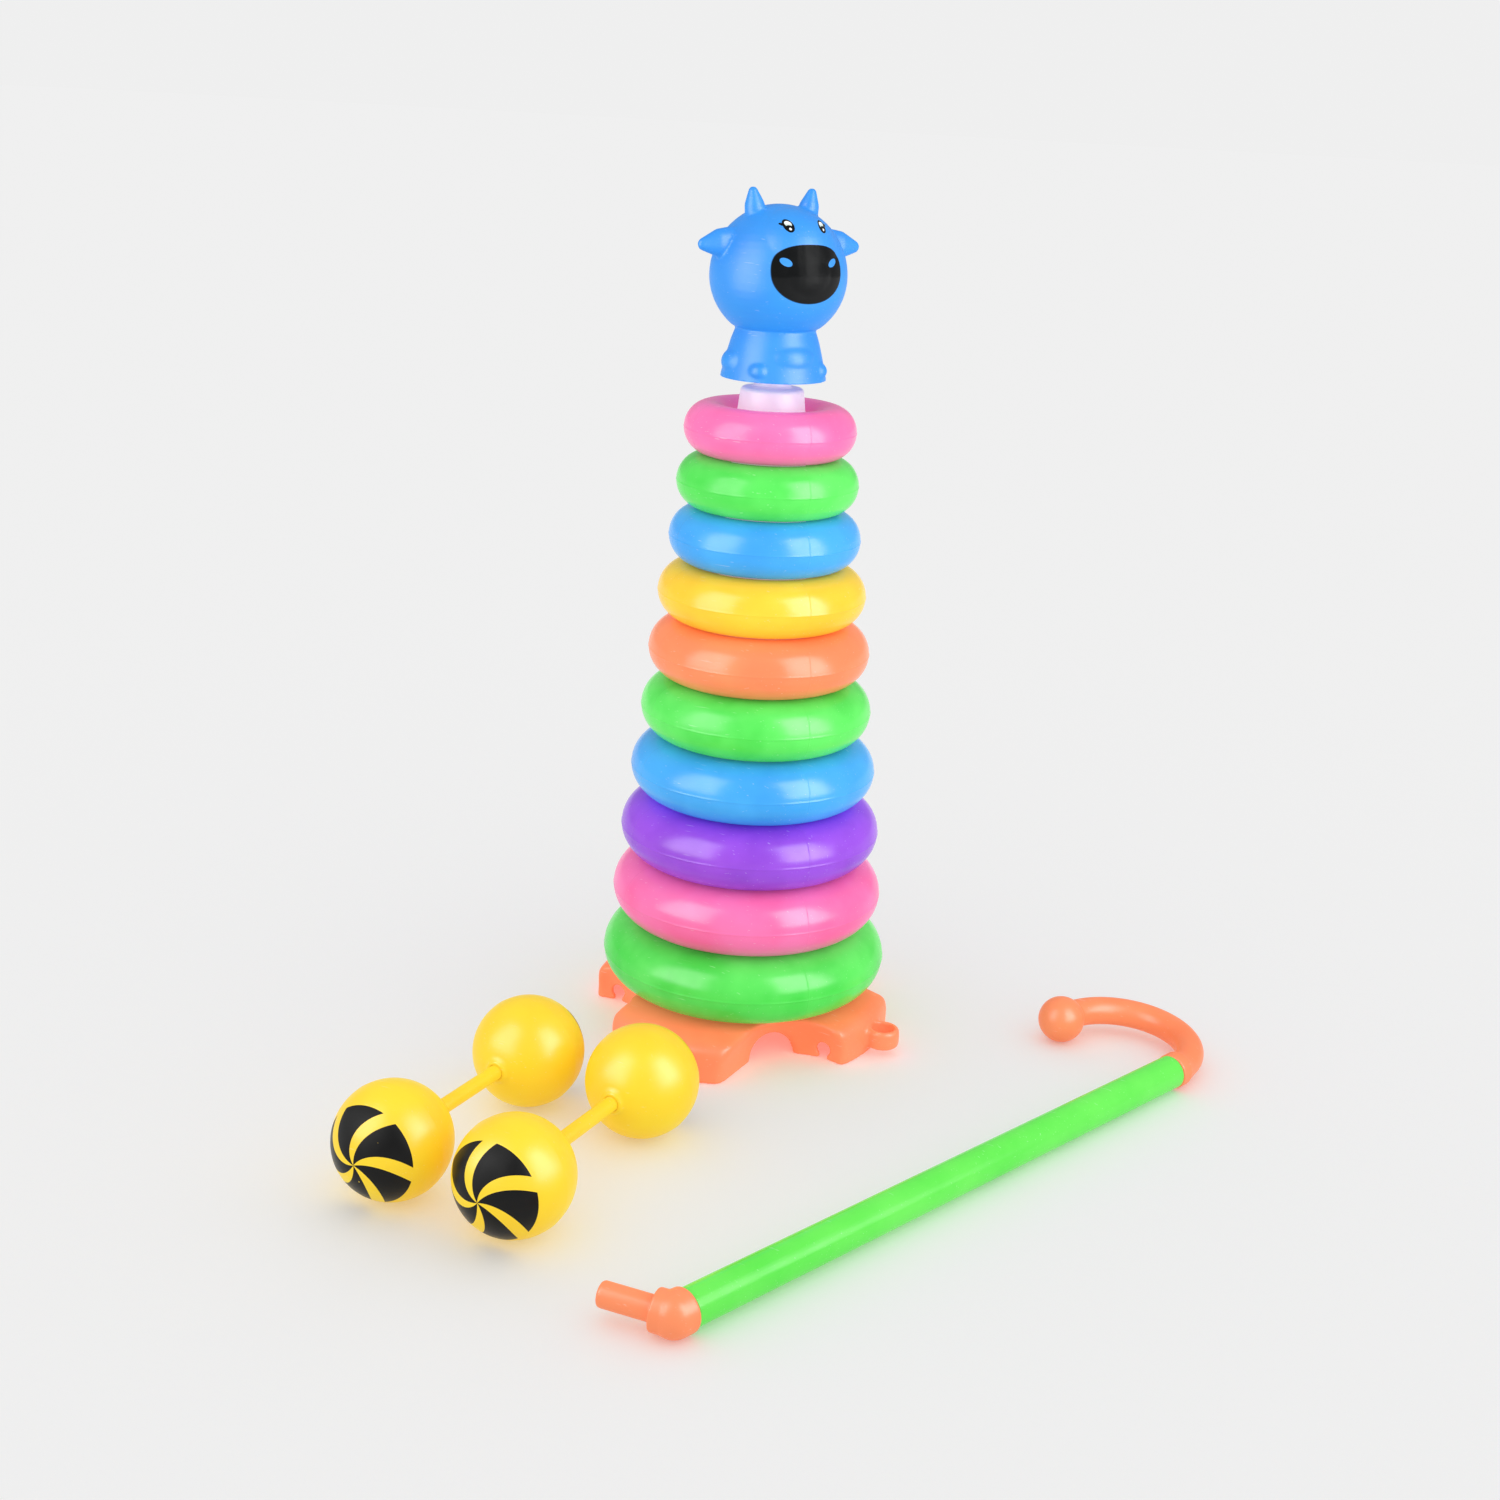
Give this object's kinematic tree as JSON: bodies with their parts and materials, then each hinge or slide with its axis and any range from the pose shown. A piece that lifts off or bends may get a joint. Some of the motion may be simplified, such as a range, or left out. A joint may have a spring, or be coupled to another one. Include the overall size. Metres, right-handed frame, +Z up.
{
  "type": "stacking ring toy",
  "caption": "Tapering stack of hollow rings on a pole with a cow figure on top, on a clip-on wheel base, with loose ball wheelsets and a pull stick.",
  "frame": {"origin": "on the floor, on the pole's axis, at the flat end of the base's centre foot", "axes": "+Z up the pole, +X through the base's pull loop, +Y to the left of it"},
  "size_m": [0.3485, 0.4342, 0.4773],
  "materials": {
    "orange_base_plastic": "moulded, satin",
    "frosted_pole_plastic": "translucent white, satin",
    "green_ring_plastic": "blow-moulded, glossy",
    "pink_ring_plastic": "blow-moulded, glossy",
    "purple_ring_plastic": "blow-moulded, glossy",
    "blue_ring_plastic": "blow-moulded, glossy",
    "orange_ring_plastic": "blow-moulded, glossy",
    "yellow_ring_plastic": "blow-moulded, glossy",
    "blue_figure_plastic": "blow-moulded, satin, black printed muzzle and eyes",
    "yellow_wheel_plastic": "blow-moulded, satin, black printed pinwheel",
    "green_tube_plastic": "extruded, glossy",
    "orange_handle_plastic": "moulded, satin"
  },
  "bodies": {
    "tower": {"base": "orange_base_plastic", "pole_lower": "frosted_pole_plastic", "pole_upper": "frosted_pole_plastic"},
    "ring_01": {"ring_01": "green_ring_plastic"},
    "ring_02": {"ring_02": "pink_ring_plastic"},
    "ring_03": {"ring_03": "purple_ring_plastic"},
    "ring_04": {"ring_04": "blue_ring_plastic"},
    "ring_05": {"ring_05": "green_ring_plastic"},
    "ring_06": {"ring_06": "orange_ring_plastic"},
    "ring_07": {"ring_07": "yellow_ring_plastic"},
    "ring_08": {"ring_08": "blue_ring_plastic"},
    "ring_09": {"ring_09": "green_ring_plastic"},
    "ring_10": {"ring_10": "pink_ring_plastic"},
    "topper": {"topper": "blue_figure_plastic"},
    "axle_a": {"axle_a": "yellow_wheel_plastic"},
    "ball_a_near": {"ball_a_near": "yellow_wheel_plastic"},
    "ball_a_far": {"ball_a_far": "yellow_wheel_plastic"},
    "axle_b": {"axle_b": "yellow_wheel_plastic"},
    "ball_b_near": {"ball_b_near": "yellow_wheel_plastic"},
    "ball_b_far": {"ball_b_far": "yellow_wheel_plastic"},
    "stick": {"stick_tube": "green_tube_plastic", "stick_handle": "orange_handle_plastic", "stick_elbow": "orange_handle_plastic"}
  },
  "joints": [
    {"name": "ring_01_lift", "type": "slide", "parent": "tower", "child": "ring_01", "axis": [0, 0, 1], "range_m": [0, 0.379]},
    {"name": "ring_02_lift", "type": "slide", "parent": "ring_01", "child": "ring_02", "axis": [0, 0, 1], "range_m": [0, 0.339]},
    {"name": "ring_03_lift", "type": "slide", "parent": "ring_02", "child": "ring_03", "axis": [0, 0, 1], "range_m": [0, 0.301]},
    {"name": "ring_04_lift", "type": "slide", "parent": "ring_03", "child": "ring_04", "axis": [0, 0, 1], "range_m": [0, 0.264]},
    {"name": "ring_05_lift", "type": "slide", "parent": "ring_04", "child": "ring_05", "axis": [0, 0, 1], "range_m": [0, 0.228]},
    {"name": "ring_06_lift", "type": "slide", "parent": "ring_05", "child": "ring_06", "axis": [0, 0, 1], "range_m": [0, 0.193]},
    {"name": "ring_07_lift", "type": "slide", "parent": "ring_06", "child": "ring_07", "axis": [0, 0, 1], "range_m": [0, 0.16]},
    {"name": "ring_08_lift", "type": "slide", "parent": "ring_07", "child": "ring_08", "axis": [0, 0, 1], "range_m": [0, 0.128]},
    {"name": "ring_09_lift", "type": "slide", "parent": "ring_08", "child": "ring_09", "axis": [0, 0, 1], "range_m": [0, 0.097]},
    {"name": "ring_10_lift", "type": "slide", "parent": "ring_09", "child": "ring_10", "axis": [0, 0, 1], "range_m": [0, 0.067]},
    {"name": "topper_lift", "type": "slide", "parent": "ring_10", "child": "topper", "axis": [0, 0, 1], "range_m": [0, 0.045]},
    {"name": "wheelset_a_lift", "type": "slide", "parent": "tower", "child": "axle_a", "axis": [0, 0, 1], "range_m": [0, 0.15]},
    {"name": "ball_a_near_spin", "type": "hinge", "parent": "axle_a", "child": "ball_a_near", "pos_m": [-0.0419, -0.2784, 0.03], "axis": [0, 1, 0], "continuous": true},
    {"name": "ball_a_far_spin", "type": "hinge", "parent": "axle_a", "child": "ball_a_far", "pos_m": [-0.0419, -0.1624, 0.03], "axis": [0, 1, 0], "continuous": true},
    {"name": "wheelset_b_lift", "type": "slide", "parent": "tower", "child": "axle_b", "axis": [0, 0, 1], "range_m": [0, 0.15]},
    {"name": "ball_b_near_spin", "type": "hinge", "parent": "axle_b", "child": "ball_b_near", "pos_m": [0.0267, -0.2741, 0.03], "axis": [0, 1, 0], "continuous": true},
    {"name": "ball_b_far_spin", "type": "hinge", "parent": "axle_b", "child": "ball_b_far", "pos_m": [0.0267, -0.1581, 0.03], "axis": [0, 1, 0], "continuous": true},
    {"name": "stick_lift", "type": "slide", "parent": "tower", "child": "stick", "axis": [0, 0, 1], "range_m": [0, 0.15]}
  ]
}
